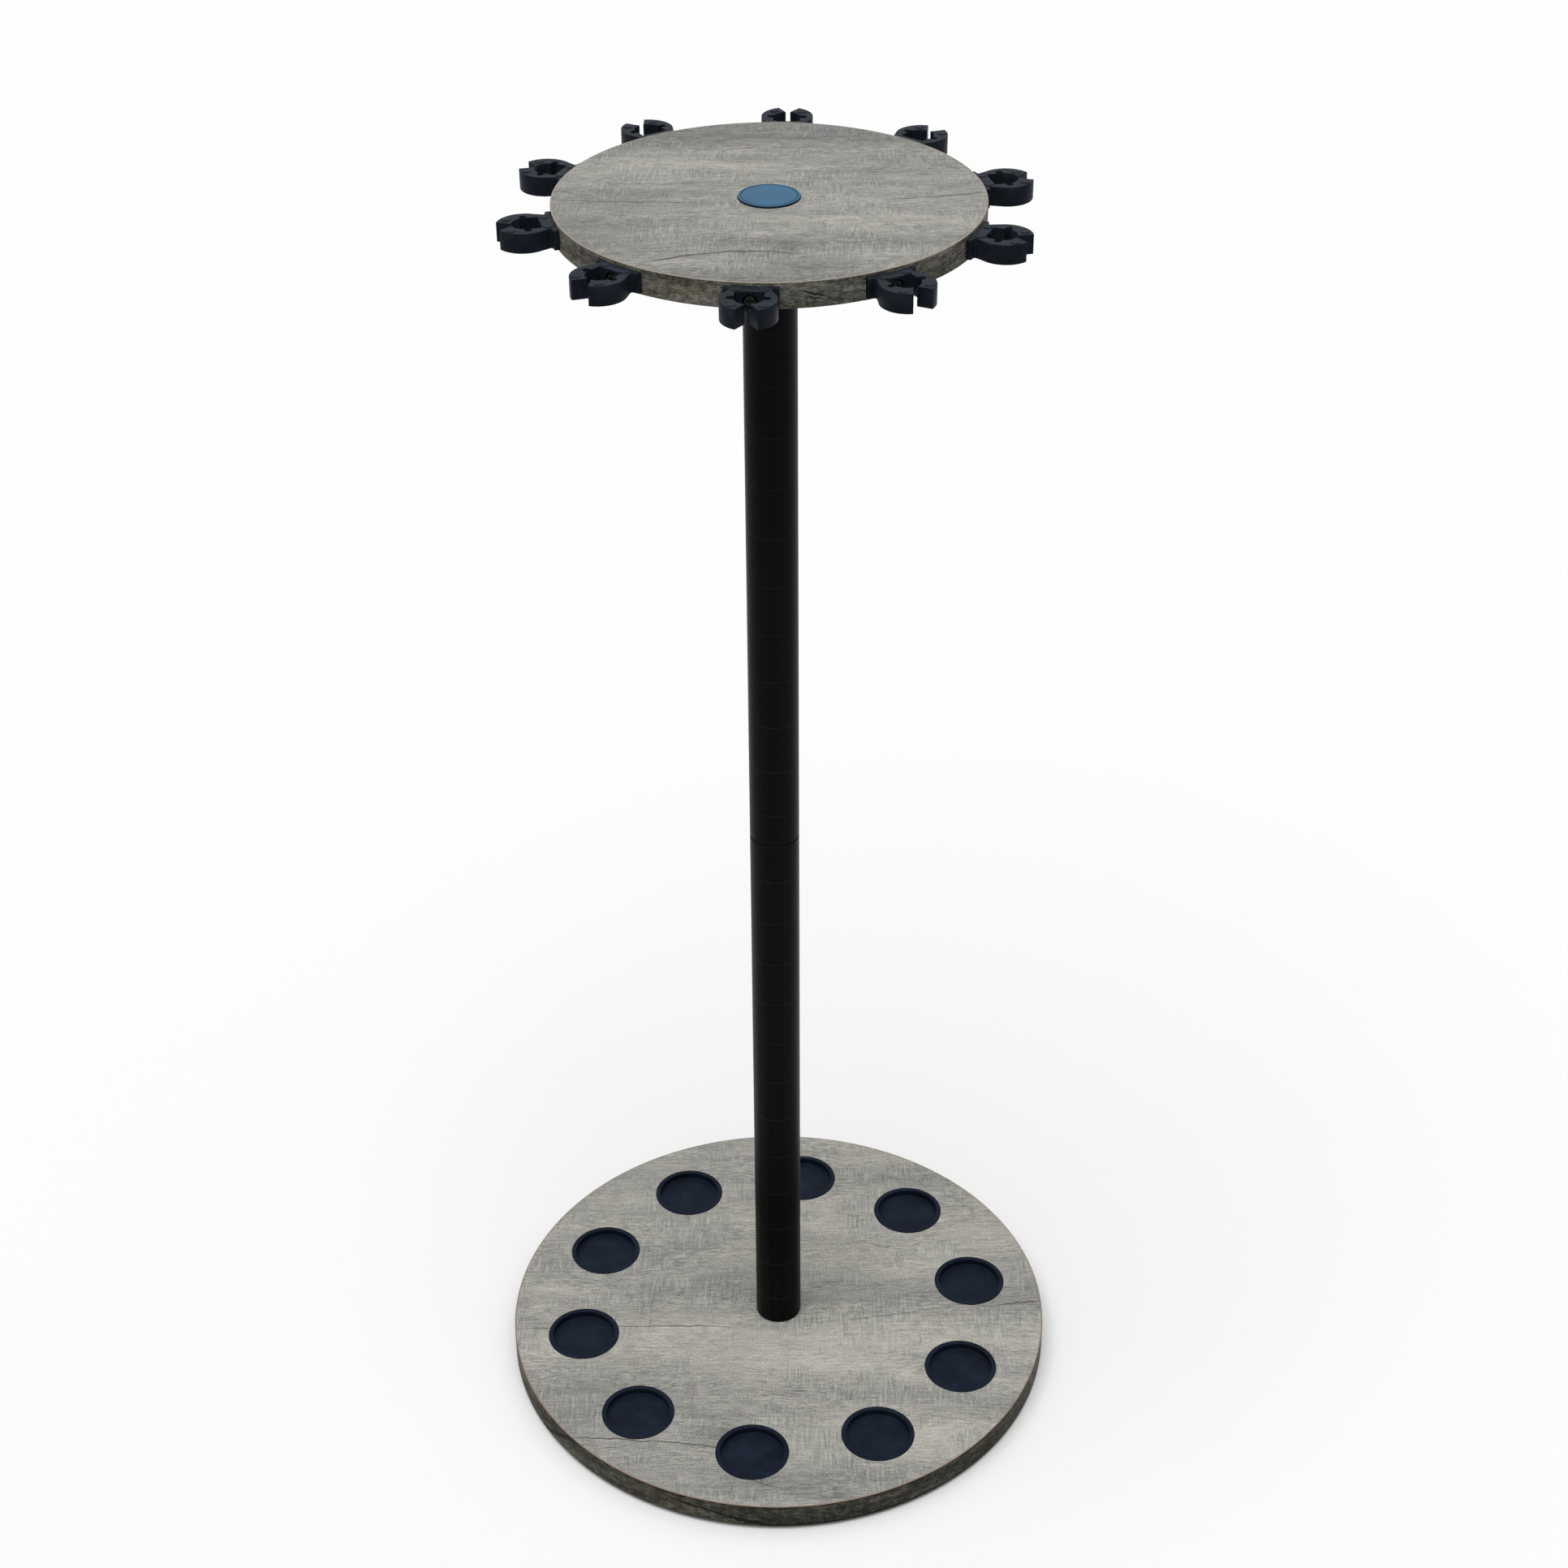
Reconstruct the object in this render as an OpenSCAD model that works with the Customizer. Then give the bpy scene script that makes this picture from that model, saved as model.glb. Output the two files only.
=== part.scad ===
// Round floor rack for fishing rods. A laminated base board carries ten cups
// for the rod butts, a two-piece steel post carries a smaller top board, and
// ten spring clips round the top board hold the rods upright above the cups.
// Millimetres, +Z up, origin on the floor under the middle of the base, with
// the front on -Y and the boards' wood grain along X.

/* [Boards] */
// Diameter of the base, over its edge band
base_d = 381; // [360:1:450]
// Thickness of the base board
base_t = 18; // [16:0.5:25]
// Diameter of the top board, over its edge band
top_d = 245; // [210:1:270]
// Thickness of the top board
top_t = 15; // [15:0.5:22]
// Thickness of the glued edge bands
band_t = 0.8; // [0.5:0.1:1.5]
// Trimmed arris along both rims of an edge band
band_bevel = 0.3; // [0.1:0.05:0.4]

/* [Post] */
// Outside diameter of both post tubes
tube_d = 31.75; // [30:0.05:38]
// Wall of both post tubes
tube_wall = 1.2; // [1:0.1:1.6]
// Length of each post tube
tube_len = 414; // [250:1:500]
// Bevel on the outer rim of a tube end
tube_bevel = 0.8; // [0.2:0.1:0.9]

/* [Rod places] */
// Number of rods, and so of cups and of clips
rod_count = 10; // [6:1:12]
// Angle of the first cup and the first clip from +X, near the front
first_angle = -98; // [-108:1:-72]
// Turn of the top board with its clips, anticlockwise past the cups
top_turn = 3; // [-6:0.5:6]
// Distance from the rim of the base to the cup centres
cup_inset = 48.5; // [46:0.5:60]

/* [Rod cups] */
// Diameter over the flange of a cup
cup_flange_d = 50.4; // [49:0.1:56]
// Thickness of the flange, which lies on the board
cup_flange_t = 0.7; // [0.5:0.1:1.5]
// Inside diameter of a cup
cup_bore_d = 43.8; // [38:0.1:44]
// Wall of the cup below its flange
cup_wall = 1.7; // [1.2:0.1:2]
// Depth of the cup, from the top of its flange to its floor
cup_depth = 5; // [4:0.1:8]
// Thickness of the cup's floor
cup_floor_t = 1.6; // [1:0.1:2.5]
// Rounding of the two corners of the flange
cup_edge_r = 0.5; // [0.2:0.05:0.5]
// Rounding where the wall of a cup meets its floor
cup_fillet_r = 0.8; // [0.3:0.1:1]

/* [Rod clips] */
// Height of a clip
clip_h = 11.4; // [10:0.1:12.6]
// Drop from the face of the top board to the top of a clip
clip_drop = 2; // [0.5:0.1:2.3]
// Diameter of the round body of a clip
clip_body_d = 31; // [29:0.1:32]
// Distance from the back of a clip to the middle of its round body
clip_body_reach = 16.6; // [16.2:0.1:17.5]
// Distance from the back of a clip to the middle of its grip
clip_reach = 15.4; // [15:0.1:16]
// Width of the flange at the back of a clip
clip_flange_w = 29.8; // [27:0.1:34]
// Thickness of that flange
clip_flange_t = 3.1; // [2.5:0.1:3.5]
// Width of the body where it leaves the flange
clip_neck_w = 21.2; // [20.4:0.1:22]
// Rounding at the bottom of the grooves between flange and body
clip_groove_r = 1.1; // [0.5:0.1:1.2]
// Diameter of the round grip in a clip
grip_d = 16; // [13:0.1:16]
// Wall between the back of a clip and its opening
clip_back_t = 7.2; // [6.8:0.1:7.2]
// Width across both relief notches, at the sides of the grip
relief_w = 23.8; // [20:0.1:24.4]
// Height of a relief notch, measured outward from the board
relief_h = 3.9; // [2:0.1:4]
// Gap between the two jaws
jaw_gap = 2.7; // [1.5:0.1:4]
// Distance from the middle of the grip to the start of the lead-in
lead_in_start = 8.2; // [7.6:0.1:9]
// Angle of each lead-in face away from the middle of the gap
lead_in_angle = 33; // [28:1:40]
// Diameter of the round moulding marks on a clip
mark_d = 5.4; // [4:0.1:6]
// Height of a moulding mark
mark_h = 0.35; // [0.1:0.05:0.6]
// Distance of the inner two marks from the back of the clip
mark_back = 4; // [3:0.1:4.4]
// Half the distance between the inner two marks
mark_back_half = 7.2; // [6:0.1:7.6]
// Distance of the outer two marks from the middle of the body
mark_jaw_r = 11.8; // [11.3:0.1:12.2]
// Angle of the outer two marks away from the middle of the gap
mark_jaw_angle = 45; // [42:0.5:60]

/* [Fasteners] */
// Thread diameter of the post's bolts and stud
bolt_d = 8; // [6:1:8]
// Width across the flats of the bolt heads and nuts
hex_af = 13; // [12:0.5:14]
// Height of a bolt head
bolt_head_h = 5.3; // [4:0.1:5.5]
// Diameter of the washers
washer_d = 22; // [17:0.5:23]
// Thickness of the washers
washer_t = 1.6; // [1:0.1:1.8]
// Height of the nuts held in the post's plugs
nut_h = 6.5; // [5:0.1:8]
// Length of thread standing past a nut
thread_past = 3.4; // [1:0.1:6]
// Shank diameter of the screw behind each clip
screw_d = 4; // [3:0.1:4.5]
// Length of that screw, under its head
screw_len = 25; // [18:0.5:35]
// Diameter of its head
screw_head_d = 8; // [6.5:0.1:8.2]
// Height of its head
screw_head_h = 2.4; // [1.8:0.1:2.7]
// Diameter of the top of its head
screw_head_top_d = 5.6; // [5:0.1:6.4]
// Length of its tapered tip
screw_tip = 4; // [2:0.5:6]
// Diameter of the end of that tip
screw_tip_d = 0.5; // [0.3:0.1:1]
// Width of the two slots in the cross recess
recess_w = 1; // [0.8:0.1:1.2]
// Length of the two slots in the cross recess
recess_l = 4.4; // [3:0.1:5]
// Depth of the cross recess
recess_depth = 1.4; // [0.8:0.1:1.6]
// Sink in the clip that holds the head of the screw
screw_sink = 2.8; // [2.5:0.1:3.5]

/* [Recesses and plugs] */
// Diameter of the recess round each bolt head in a board
bolt_recess_d = 25; // [24:0.5:30]
// Depth of the recess under the base board
base_recess = 8; // [7.5:0.1:9]
// Depth of the recess in the top board
top_recess = 7.5; // [7.4:0.1:9]
// Length of each plug in the post's tube ends
plug_len = 25; // [18:0.5:40]
// Width of the grip rings round a plug
plug_ring_w = 2; // [1:0.1:2.5]
// Distance from one grip ring of a plug to the next
plug_ring_pitch = 6; // [4:0.5:6.5]
// Number of grip rings round a plug
plug_rings = 4; // [2:1:4]
// How far the grip rings stand out from a plug
plug_ring_h = 0.5; // [0.2:0.1:1]

/* [Cap and feet] */
// Diameter of the cap over the top bolt
cap_d = 35.6; // [32:0.1:45]
// Height of the cap above the board
cap_t = 1.2; // [1:0.1:3]
// Rounding of the cap's edge
cap_edge_r = 0.7; // [0.2:0.1:0.8]
// Distance of the ring groove from the edge of the cap
cap_groove_in = 1.6; // [1.2:0.1:3]
// Width of the ring groove
cap_groove_w = 0.5; // [0.3:0.1:0.8]
// Depth of the ring groove
cap_groove_depth = 0.25; // [0.1:0.05:0.4]
// Length of the spigot under the cap
spigot_len = 2.5; // [1.5:0.1:4]
// Wall of the spigot
spigot_wall = 1.5; // [1:0.1:2]
// Number of pads under the base
pad_count = 6; // [3:1:8]
// Diameter of a pad
pad_d = 16; // [12:0.5:16]
// Thickness of a pad
pad_t = 3; // [1.5:0.1:5]
// Distance from the rim of the base to the middle of a pad
pad_inset = 13; // [10:0.5:14]

/* [Fits] */
// Radial clearance of a bolt or stud in its nut
thread_fit = 0.05; // [0.03:0.01:0.1]
// Radial clearance of a bolt in a board, washer or plug
bolt_fit = 0.4; // [0.2:0.05:0.8]
// Clearance between nut and pocket, and between plug and tube
push_fit = 0.05; // [0.03:0.01:0.15]
// Clearance round a cup in its hole in the base board
cup_fit = 0.1; // [0.05:0.01:0.3]
// Clearance round a screw in a clip and in its sink
screw_fit = 0.15; // [0.05:0.01:0.2]
// Glue line behind an edge band, and gap behind a clip
seat_gap = 0.05; // [0.03:0.01:0.2]
// Clearance of the cap's spigot in its recess
cap_fit = 0.1; // [0.05:0.01:0.3]

/* [Hidden] */
$fn = 96;
board_fn = 180;
corner_fn = 32;
eps = 0.01;

base_z = pad_t;
deck_z = base_z + base_t;
seam_z = deck_z + tube_len;
top_z = seam_z + tube_len;
face_z = top_z + top_t;

base_core_r = base_d / 2 - band_t - seat_gap;
top_core_r = top_d / 2 - band_t - seat_gap;
tube_bore_r = tube_d / 2 - tube_wall;
bolt_hole_r = bolt_d / 2 + bolt_fit;

cup_circle_r = base_d / 2 - cup_inset;
cup_bore_r = cup_bore_d / 2;
cup_body_r = cup_bore_r + cup_wall;
cup_below = cup_depth - cup_flange_t + cup_floor_t;
cup_hole_r = cup_body_r + cup_fit;

clip_z = face_z - clip_drop - clip_h;
clip_r = top_d / 2 + seat_gap;
clip_body_r = clip_body_d / 2;
flange_r = clip_r + clip_flange_t;
// The sides of a clip's neck end just inside the circle of its body
neck_sink = 0.1;
grip_r = grip_d / 2;
screw_z = clip_h / 2;
screw_hole_r = screw_d / 2 + screw_fit;
sink_r = screw_head_d / 2 + screw_fit;
screw_seat = clip_back_t - screw_sink;

hex_r = hex_af / 2 / cos(30);
base_bolt_z = base_z + base_recess - washer_t;
top_bolt_z = top_z + top_t - top_recess + washer_t;
base_bolt_len = deck_z - base_bolt_z + plug_len + thread_past;
top_bolt_len = top_bolt_z - top_z + plug_len + thread_past;
stud_len = 2 * (plug_len + thread_past);
plug_r = tube_bore_r - push_fit - plug_ring_h;
spigot_r = bolt_recess_d / 2 - cap_fit;

laminate = "#A8A297";
band_brown = "#4A473C";
black_steel = "#141415";
black_plastic = "#2B2F36";
nylon = "#D9D5C8";
zinc = "#B9BBBC";
black_phosphate = "#1A1B1C";
slate_blue = "#41637C";
pad_rubber = "#1E1E1E";

// Puts its child at rod place k, with its +X pointing out from the post
module at_place(k, r, z, turn = 0) {
    rotate([0, 0, first_angle + turn + 360 / rod_count * (k - 1)])
        translate([r, 0, z]) children();
}

// The holes of the clips' screws, with radius r, in the board and its band
module screw_holes(r) {
    for (k = [1:rod_count])
        at_place(k, clip_r, clip_z + screw_z, top_turn)
            rotate([0, -90, 0]) cylinder(r = r, h = screw_len - screw_seat);
}

// A board is a flat disc with a bolt hole up its middle
module board(r, t) {
    difference() {
        cylinder(r = r, h = t, $fn = board_fn);
        translate([0, 0, -eps]) cylinder(r = bolt_hole_r, h = t + 2 * eps);
    }
}

// An edge band is a thin strip bent round a board, with its two rims trimmed
module edge_band(d, t) {
    r = d / 2;
    rotate_extrude($fn = board_fn) polygon([
        [r - band_t, 0], [r - band_bevel, 0], [r, band_bevel],
        [r, t - band_bevel], [r - band_bevel, t], [r - band_t, t]
    ]);
}

module base_board() {
    color(laminate)
    difference() {
        translate([0, 0, base_z]) board(base_core_r, base_t);
        translate([0, 0, base_z - eps])
            cylinder(d = bolt_recess_d, h = base_recess + eps);
        for (k = [1:rod_count])
            at_place(k, cup_circle_r, base_z - eps)
                cylinder(r = cup_hole_r, h = base_t + 2 * eps);
    }
}

module base_edge_band() {
    color(band_brown) translate([0, 0, base_z]) edge_band(base_d, base_t);
}

module top_board() {
    color(laminate)
    difference() {
        translate([0, 0, top_z]) board(top_core_r, top_t);
        translate([0, 0, face_z - top_recess])
            cylinder(d = bolt_recess_d, h = top_recess + eps);
        screw_holes(screw_d / 2 + thread_fit);
    }
}

module top_edge_band() {
    color(band_brown)
    difference() {
        translate([0, 0, top_z]) edge_band(top_d, top_t);
        screw_holes(screw_hole_r);
    }
}

// Half section of a cup, right of its axis, with z = 0 at the board's face
module cup_section() {
    flange_r = cup_flange_d / 2;
    floor_z = cup_flange_t - cup_depth;
    difference() {
        union() {
            translate([0, -cup_below]) square([cup_body_r, cup_below]);
            square([flange_r, cup_flange_t - cup_edge_r]);
            square([flange_r - cup_edge_r, cup_flange_t]);
            translate([flange_r - cup_edge_r, cup_flange_t - cup_edge_r])
                circle(r = cup_edge_r, $fn = corner_fn);
        }
        // The hollow, with a filleted floor
        translate([0, floor_z + cup_fillet_r]) square([cup_bore_r, cup_depth]);
        translate([0, floor_z]) square([cup_bore_r - cup_fillet_r, cup_depth]);
        translate([cup_bore_r - cup_fillet_r, floor_z + cup_fillet_r])
            circle(r = cup_fillet_r, $fn = corner_fn);
        // The rounded inner corner of the flange
        difference() {
            translate([cup_bore_r - eps, cup_flange_t - cup_edge_r])
                square([cup_edge_r + eps, cup_edge_r + eps]);
            translate([cup_bore_r + cup_edge_r, cup_flange_t - cup_edge_r])
                circle(r = cup_edge_r, $fn = corner_fn);
        }
    }
}

module rod_cup(k) {
    color(black_plastic) at_place(k, cup_circle_r, deck_z)
        rotate_extrude() cup_section();
}

// The relief notches are one slot with round ends, across the middle of the grip
module relief_outline() {
    half = (relief_w - relief_h) / 2;
    square([relief_h, 2 * half], center = true);
    for (side = [-1, 1])
        translate([0, side * half]) circle(d = relief_h, $fn = corner_fn);
}

// Half of a clip's neck. Its side slopes from the flange to the body, and the
// groove between them has a round bottom.
module neck_outline() {
    start = [sqrt(flange_r ^ 2 - (clip_neck_w / 2) ^ 2) - clip_r, clip_neck_w / 2];
    from_body = start - [clip_body_reach, 0];
    side_r = clip_body_r - neck_sink;
    touch = atan2(from_body.y, from_body.x) - acos(side_r / norm(from_body));
    end = [clip_body_reach, 0] + side_r * [cos(touch), sin(touch)];
    polygon([[0, 0], [0, start.y], start, end, [end.x, 0]]);

    along = [sin(touch), -cos(touch)];
    out = clip_groove_r * [cos(touch), sin(touch)];
    reach = start + out + [clip_r, 0];
    run = sqrt((reach * along) ^ 2 - reach * reach + (flange_r + clip_groove_r) ^ 2) - reach * along;
    middle = start + out + run * along;
    from_post = middle + [clip_r, 0];
    on_flange = from_post * flange_r / norm(from_post) - [clip_r, 0];
    difference() {
        polygon([[0, start.y / 2], middle - out, middle, on_flange]);
        translate(middle) circle(r = clip_groove_r, $fn = corner_fn);
    }
}

// Outline of a clip. Its back touches x = 0 and is curved like the board's edge,
// and the rod's gap is towards +X.
module clip_outline() {
    lead_in_half = jaw_gap / 2 + clip_body_r * tan(lead_in_angle);
    difference() {
        union() {
            intersection() {
                translate([-clip_r, 0]) circle(r = flange_r, $fn = board_fn);
                translate([-clip_flange_t, -clip_flange_w / 2])
                    square([2 * clip_flange_t, clip_flange_w]);
            }
            neck_outline();
            mirror([0, 1]) neck_outline();
            translate([clip_body_reach, 0]) circle(r = clip_body_r);
        }
        translate([-clip_r, 0]) circle(r = clip_r, $fn = board_fn);
        translate([clip_back_t, -grip_r]) square([clip_reach - clip_back_t, grip_d]);
        translate([clip_reach, 0]) {
            intersection() {
                circle(r = grip_r);
                translate([0, -grip_r]) square([grip_r, grip_d]);
            }
            relief_outline();
            translate([0, -jaw_gap / 2]) square([clip_body_d, jaw_gap]);
            translate([lead_in_start, 0]) polygon([
                [0, -jaw_gap / 2], [clip_body_r, -lead_in_half],
                [clip_body_r, lead_in_half], [0, jaw_gap / 2]
            ]);
        }
    }
}

// Four round marks left on the clip's top by the mould's ejector pins
module clip_marks() {
    for (side = [-1, 1]) {
        translate([mark_back, side * mark_back_half, 0]) cylinder(d = mark_d, h = mark_h);
        translate([clip_body_reach, 0, 0]) rotate([0, 0, side * mark_jaw_angle])
            translate([mark_jaw_r, 0, 0]) cylinder(d = mark_d, h = mark_h);
    }
}

module rod_clip(k) {
    color(black_plastic) at_place(k, clip_r, clip_z, top_turn) {
        difference() {
            linear_extrude(clip_h) clip_outline();
            translate([-clip_flange_t, 0, screw_z]) rotate([0, 90, 0])
                cylinder(r = screw_hole_r, h = clip_flange_t + clip_back_t + eps);
            translate([screw_seat, 0, screw_z]) rotate([0, 90, 0])
                cylinder(r = sink_r, h = screw_sink + eps);
        }
        translate([0, 0, clip_h]) clip_marks();
    }
}

// A pan-head wood screw, with its shank towards -X and its head bearing at x = 0
module wood_screw() {
    rotate([0, -90, 0]) {
        cylinder(d = screw_d, h = screw_len - screw_tip);
        translate([0, 0, screw_len - screw_tip])
            cylinder(d1 = screw_d, d2 = screw_tip_d, h = screw_tip);
    }
    difference() {
        rotate([0, 90, 0])
            cylinder(d1 = screw_head_d, d2 = screw_head_top_d, h = screw_head_h);
        for (turn = [0, 90])
            rotate([turn, 0, 0]) translate([screw_head_h, 0, 0])
                cube([2 * recess_depth, recess_l, recess_w], center = true);
    }
}

module clip_screws() {
    color(black_phosphate)
    for (k = [1:rod_count])
        at_place(k, clip_r + screw_seat, clip_z + screw_z, top_turn) wood_screw();
}

// A tube standing at z, with the outer rim of both its ends bevelled
module post_tube(z) {
    r = tube_d / 2;
    color(black_steel) translate([0, 0, z])
        rotate_extrude() polygon([
            [tube_bore_r, 0], [r - tube_bevel, 0], [r, tube_bevel],
            [r, tube_len - tube_bevel], [r - tube_bevel, tube_len], [tube_bore_r, tube_len]
        ]);
}

module lower_tube() { post_tube(deck_z); }
module upper_tube() { post_tube(seam_z); }

// A nut or a bolt head
module hex_prism(h, clear = 0) {
    cylinder(r = hex_r + clear / cos(30), h = h, $fn = 6);
}

// A ribbed plug, with its outer face on z = 0 and its nut pocket at the far end
module post_plug() {
    difference() {
        union() {
            cylinder(r = plug_r, h = plug_len);
            for (k = [1:plug_rings])
                translate([0, 0, plug_ring_pitch * (k - 1) + plug_ring_w / 2])
                    cylinder(r = plug_r + plug_ring_h, h = plug_ring_w);
        }
        translate([0, 0, -eps]) cylinder(r = bolt_hole_r, h = plug_len + 2 * eps);
        translate([0, 0, plug_len - nut_h]) hex_prism(nut_h + eps, push_fit);
    }
}

// The same plug, looking up or down from the tube end at height z
module plug_at(z, up) {
    color(nylon) translate([0, 0, z]) rotate([up ? 0 : 180, 0, 0]) post_plug();
}

module foot_plug() { plug_at(deck_z, true); }
module lower_joint_plug() { plug_at(seam_z, false); }
module upper_joint_plug() { plug_at(seam_z, true); }
module head_plug() { plug_at(top_z, false); }

module plug_nuts() {
    nut_z = plug_len - nut_h;
    color(zinc)
    for (z = [deck_z + nut_z, seam_z - plug_len, seam_z + nut_z, top_z - plug_len])
        translate([0, 0, z]) difference() {
            hex_prism(nut_h);
            translate([0, 0, -eps]) cylinder(r = bolt_d / 2 + thread_fit, h = nut_h + 2 * eps);
        }
}

module joint_stud() {
    color(zinc) translate([0, 0, seam_z - stud_len / 2]) cylinder(d = bolt_d, h = stud_len);
}

// A hexagon-head bolt, with its shank pointing up and its head bearing on z = 0
module hex_bolt(len) {
    cylinder(d = bolt_d, h = len);
    translate([0, 0, -bolt_head_h]) hex_prism(bolt_head_h);
}

module washer() {
    difference() {
        cylinder(d = washer_d, h = washer_t);
        translate([0, 0, -eps]) cylinder(r = bolt_hole_r, h = washer_t + 2 * eps);
    }
}

module base_bolt() {
    color(zinc) translate([0, 0, base_bolt_z]) hex_bolt(base_bolt_len);
}

module base_washer() {
    color(zinc) translate([0, 0, base_bolt_z]) washer();
}

module top_bolt() {
    color(zinc) translate([0, 0, top_bolt_z]) rotate([180, 0, 0]) hex_bolt(top_bolt_len);
}

module top_washer() {
    color(zinc) translate([0, 0, top_bolt_z - washer_t]) washer();
}

// Half section of the cap, with z = 0 at the board's face
module cap_section() {
    r = cap_d / 2;
    difference() {
        union() {
            square([r, cap_t - cap_edge_r]);
            square([r - cap_edge_r, cap_t]);
            translate([r - cap_edge_r, cap_t - cap_edge_r]) circle(r = cap_edge_r, $fn = corner_fn);
        }
        translate([r - cap_groove_in - cap_groove_w, cap_t - cap_groove_depth])
            square([cap_groove_w, cap_groove_depth + eps]);
        translate([0, -cap_edge_r]) square([r + eps, cap_edge_r]);
    }
    translate([spigot_r - spigot_wall, -spigot_len]) square([spigot_wall, spigot_len + eps]);
}

module centre_cap() {
    color(slate_blue) translate([0, 0, face_z]) rotate_extrude() cap_section();
}

module floor_pads() {
    color(pad_rubber)
    for (k = [1:pad_count])
        rotate([0, 0, 360 / pad_count * k]) translate([base_d / 2 - pad_inset, 0, 0])
            cylinder(d = pad_d, h = pad_t);
}

base_board();
base_edge_band();
top_board();
top_edge_band();
for (k = [1:rod_count]) rod_cup(k);
for (k = [1:rod_count]) rod_clip(k);
clip_screws();
lower_tube();
upper_tube();
foot_plug();
lower_joint_plug();
upper_joint_plug();
head_plug();
plug_nuts();
joint_stud();
base_bolt();
base_washer();
top_bolt();
top_washer();
centre_cap();
floor_pads();
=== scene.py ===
import math

import bmesh
import bpy
from mathutils import Matrix, Vector


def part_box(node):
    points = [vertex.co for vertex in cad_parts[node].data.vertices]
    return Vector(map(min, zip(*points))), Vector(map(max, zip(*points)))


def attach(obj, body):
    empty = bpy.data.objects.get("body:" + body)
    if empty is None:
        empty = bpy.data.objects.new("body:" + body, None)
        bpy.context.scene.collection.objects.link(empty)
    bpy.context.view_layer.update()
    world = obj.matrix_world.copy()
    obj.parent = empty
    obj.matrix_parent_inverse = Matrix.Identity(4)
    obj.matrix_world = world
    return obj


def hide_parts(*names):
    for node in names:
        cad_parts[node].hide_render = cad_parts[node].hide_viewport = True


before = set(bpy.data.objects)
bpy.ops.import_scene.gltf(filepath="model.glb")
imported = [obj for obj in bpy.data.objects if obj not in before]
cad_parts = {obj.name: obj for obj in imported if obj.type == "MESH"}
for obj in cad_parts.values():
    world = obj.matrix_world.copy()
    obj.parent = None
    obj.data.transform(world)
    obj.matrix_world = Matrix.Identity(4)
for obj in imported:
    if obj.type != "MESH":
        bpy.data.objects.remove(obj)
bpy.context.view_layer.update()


# Camera. It stands in front of the rack, above the height of the top board,
# and looks down over the board on to the base.
MM = 0.001
CAMERA_AT = Vector((-9.3, -1479.2, 1430.6)) * MM
CAMERA_TURN = math.radians(-0.603)
CAMERA_TILT = math.radians(90 - 32.927)
CAMERA_ROLL = math.radians(-0.358)
SENSOR = 36
LENS = 63.59

camera_data = bpy.data.cameras.new("camera")
camera_data.sensor_width = SENSOR
camera_data.lens = LENS
camera = bpy.data.objects.new("camera", camera_data)
camera.matrix_world = (
    Matrix.Translation(CAMERA_AT)
    @ Matrix.Rotation(CAMERA_TURN, 4, "Z")
    @ Matrix.Rotation(CAMERA_TILT, 4, "X")
    @ Matrix.Rotation(CAMERA_ROLL, 4, "Z")
)
bpy.context.scene.collection.objects.link(camera)
bpy.context.scene.camera = camera
bpy.context.scene.view_settings.view_transform = "Standard"


# Floor and light. A plain pale floor under a sky that is bright overhead, as
# under a large softbox. The floor and the horizon show white, and the light
# that the floor throws back on to the object is that of a mid-grey one.
FLOOR_R = 14.0
FLOOR_BOUNCE = 0.16
SKY_LOW = 0.12
SKY_POWER = 4
SKY_TOP = 1.40
SUN_SHARE = 0.42
SUN_ANGLE = math.radians(50)
SUN_TILT = (math.radians(17), 0, math.radians(-28))


def linear(code):
    """An sRGB hex colour as linear light."""
    parts = [int(code[i:i + 2], 16) / 255 for i in (1, 3, 5)]
    return [c / 12.92 if c <= 0.04045 else ((c + 0.055) / 1.055) ** 2.4 for c in parts] + [1]


def add(tree, kind, sockets=None, stops=(), **settings):
    """Adds a shader node with its settings, values, links and colour stops, and gives its output."""
    node = tree.nodes.new("ShaderNode" + kind)
    for name, value in settings.items():
        setattr(node, name, value)
    for key, value in (sockets or {}).items():
        if isinstance(value, bpy.types.NodeSocket):
            tree.links.new(value, node.inputs[key])
        else:
            node.inputs[key].default_value = linear(value) if isinstance(value, str) else value
    for _ in stops[2:]:
        node.color_ramp.elements.new(1.0)
    for i, (place, colour) in enumerate(stops):
        node.color_ramp.elements[i].position = place
        node.color_ramp.elements[i].color = linear(colour) if isinstance(colour, str) else colour
    return next(output for output in node.outputs if output.enabled)


def seen_directly(tree):
    """One where a ray comes from the camera, a reflection or glass, and else zero."""
    rays = add(tree, "LightPath").node.outputs
    shown = add(tree, "Math", {0: rays["Is Camera Ray"], 1: rays["Is Glossy Ray"]}, operation="ADD")
    glass = rays["Is Transmission Ray"]
    return add(tree, "Math", {0: shown, 1: glass}, operation="ADD", use_clamp=True)


def finish(name, **sockets):
    """A new material for one finish, its node tree, and its shader with sockets set by name."""
    material = bpy.data.materials.new(name)
    material.use_nodes = True
    shader = material.node_tree.nodes["Principled BSDF"]
    for socket, value in sockets.items():
        shader.inputs[socket.replace("_", " ")].default_value = value
    return material, material.node_tree, shader


def new_piece(name, bm, material):
    """A new object from a bmesh whose vertices are where the piece is."""
    mesh = bpy.data.meshes.new(name)
    bm.to_mesh(mesh)
    bm.free()
    mesh.materials.append(material)
    piece = bpy.data.objects.new(name, mesh)
    bpy.context.scene.collection.objects.link(piece)
    return piece


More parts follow.
